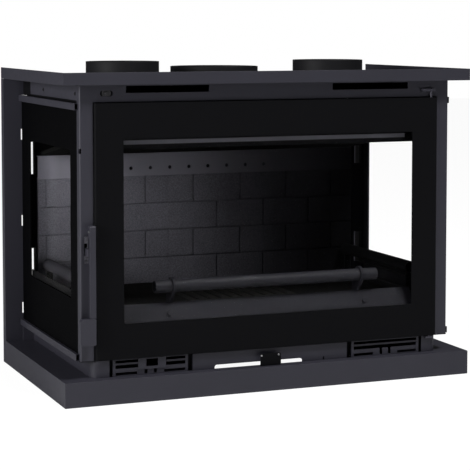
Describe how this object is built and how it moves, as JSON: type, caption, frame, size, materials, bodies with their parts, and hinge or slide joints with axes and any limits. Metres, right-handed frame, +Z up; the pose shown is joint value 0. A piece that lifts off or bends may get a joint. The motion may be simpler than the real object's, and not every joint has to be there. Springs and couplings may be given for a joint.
{
  "type": "wood-burning fireplace insert",
  "caption": "Steel fireplace insert with a wide glass door, glazed sides, brick-lined firebox, log rails, slotted front, air controls, flue and warm-air collars.",
  "frame": {"origin": "on the floor, under the middle of the insert", "axes": "+X to the viewer's right along the width, +Y from the door to the rear, +Z up"},
  "size_m": [0.9, 0.5, 0.675],
  "materials": {
    "body": "satin anthracite paint",
    "black": "satin black paint",
    "collar": "matt dark paint",
    "inner": "matt heatproof paint",
    "iron": "as cast",
    "stone": "pressed refractory",
    "glass": "clear ceramic",
    "rope": "woven glass rope",
    "bright": "plain zinc"
  },
  "bodies": {
    "root": {"air_register": "inner", "air_strip": "inner", "air_wash_guide": "black", "ash_housing": "inner", "ash_pan": "inner", "back_duct_casing": "inner", "back_plate": "inner", "baffle_plate": "stone", "base_frame": "body", "brick_panel_left": "stone", "brick_panel_right": "stone", "firebox_roof": "inner", "floor_stone": "stone", "flue_collar": "collar", "front_frame": "body", "front_lip": "inner", "front_log_tube": "inner", "grate": "iron", "hearth_plate": "inner", "latch_keeper": "bright", "left_duct_collar": "collar", "left_grille": "body", "left_log_tube": "inner", "left_lower_rail": "body", "left_plinth_side": "body", "left_rear_corner": "inner", "left_side_fascia": "body", "left_side_frame": "black", "left_side_glass": "glass", "left_side_glass_retainer": "inner", "left_side_lip": "inner", "left_upper_rail": "body", "lower_hinge_bracket": "bright", "plinth_mid_panel": "body", "rear_frame": "body", "right_duct_collar": "collar", "right_grille": "body", "right_log_tube": "inner", "right_lower_rail": "body", "right_plinth_side": "body", "right_rear_corner": "inner", "right_side_fascia": "body", "right_side_frame": "black", "right_side_glass": "glass", "right_side_glass_retainer": "inner", "right_side_lip": "inner", "right_upper_rail": "body", "seal_frame": "black", "top_cover_plate": "body", "top_frame": "body", "upper_hinge_bracket": "bright"},
    "door": {"door_frame": "black", "door_glass": "glass", "door_glass_retainer": "inner", "door_gasket": "rope", "handle_pivot_pin": "bright"},
    "handle": {"handle_lever": "body", "handle_grip": "body"},
    "air_control": {"air_control_slide": "black"},
    "shutter": {"air_shutter": "body"}
  },
  "joints": [
    {"name": "door_swing", "type": "hinge", "parent": "root", "child": "door", "pos_m": [0.3687, -0.227, 0.3], "axis": [0, 0, 1], "range_deg": [0, 95]},
    {"name": "handle_tip", "type": "hinge", "parent": "door", "child": "handle", "pos_m": [-0.39, -0.24, 0.346], "axis": [-1, 0, 0], "range_deg": [0, 40]},
    {"name": "air_control_travel", "type": "slide", "parent": "root", "child": "air_control", "axis": [1, 0, 0], "range_m": [-0.09, 0.057]},
    {"name": "shutter_travel", "type": "slide", "parent": "root", "child": "shutter", "axis": [1, 0, 0], "range_m": [-0.025, 0.025]}
  ]
}
